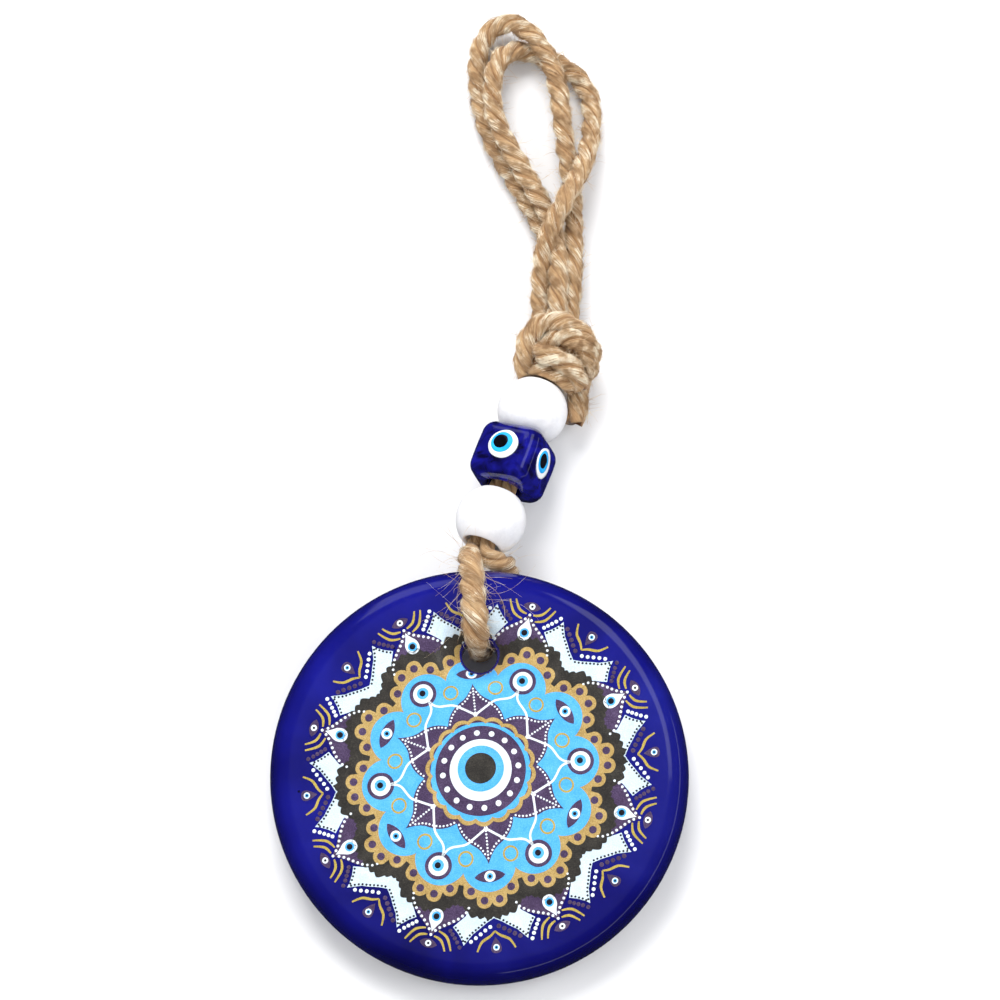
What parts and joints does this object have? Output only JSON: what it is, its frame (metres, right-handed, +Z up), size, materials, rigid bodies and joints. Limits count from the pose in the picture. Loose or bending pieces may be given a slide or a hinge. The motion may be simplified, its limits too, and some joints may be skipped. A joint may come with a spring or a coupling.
{
  "type": "evil eye ornament",
  "caption": "Round blue glass disc printed with a concentric eye pattern, hung on a looped jute cord through white round beads and a square eye bead.",
  "frame": {"origin": "on the table, under the middle of the box round the disc and beads without the cord", "axes": "+Z up from the table to the printed face, +Y from the disc towards the hanging loop, +X to the right as seen from the front"},
  "size_m": [0.07, 0.1738, 0.0166],
  "materials": {
    "disc_glass": "polished deep blue glass",
    "ink_dark": "printed ink, fine grain",
    "ink_light_blue": "printed ink, fine grain",
    "ink_white": "printed ink, fine grain",
    "ink_plum": "printed ink, fine grain",
    "ink_gold": "printed ink, fine grain",
    "bead_white": "satin white acrylic",
    "cube_glass": "polished deep blue glass",
    "dot_white": "opaque white glass",
    "dot_blue": "opaque light blue glass",
    "dot_dark": "opaque black glass",
    "jute": "three-ply natural jute, hairy"
  },
  "bodies": {
    "cord": {"cord_disc_loop": "jute", "cord_bead_core": "jute", "cord_knot": "jute", "cord_outer_loop": "jute", "cord_inner_loop": "jute", "cord_tail": "jute"},
    "disc": {"glass_disc": "disc_glass", "print_pupil": "ink_dark", "print_light_ring": "ink_light_blue", "print_white_ring": "ink_white", "print_plum_ring": "ink_plum", "print_field": "ink_light_blue"},
    "lower_bead": {"bead_lower": "bead_white"},
    "square_bead": {"cube_bead": "cube_glass", "cube_eye_1_white": "dot_white", "cube_eye_1_blue": "dot_blue", "cube_eye_1_pupil": "dot_dark", "cube_eye_2_white": "dot_white", "cube_eye_2_blue": "dot_blue", "cube_eye_2_pupil": "dot_dark", "cube_eye_3_white": "dot_white", "cube_eye_3_blue": "dot_blue", "cube_eye_3_pupil": "dot_dark", "cube_eye_4_white": "dot_white", "cube_eye_4_blue": "dot_blue", "cube_eye_4_pupil": "dot_dark"},
    "upper_bead": {"bead_upper": "bead_white"}
  },
  "joints": [
    {"name": "disc_swing", "type": "hinge", "parent": "cord", "child": "disc", "pos_m": [0, 0.00294, 0.00395], "axis": [0, -0.075, 0.9972], "range_deg": [-12, 12]},
    {"name": "lower_bead_spin", "type": "hinge", "parent": "cord", "child": "lower_bead", "pos_m": [0.0019, 0.0269, 0.00815], "axis": [0.3308, 0.9393, -0.0906], "continuous": true},
    {"name": "square_bead_spin", "type": "hinge", "parent": "cord", "child": "square_bead", "pos_m": [0.00567, 0.03761, 0.00712], "axis": [0.3308, 0.9393, -0.0906], "continuous": true},
    {"name": "upper_bead_spin", "type": "hinge", "parent": "cord", "child": "upper_bead", "pos_m": [0.009, 0.04705, 0.00621], "axis": [0.3308, 0.9393, -0.0906], "continuous": true}
  ]
}
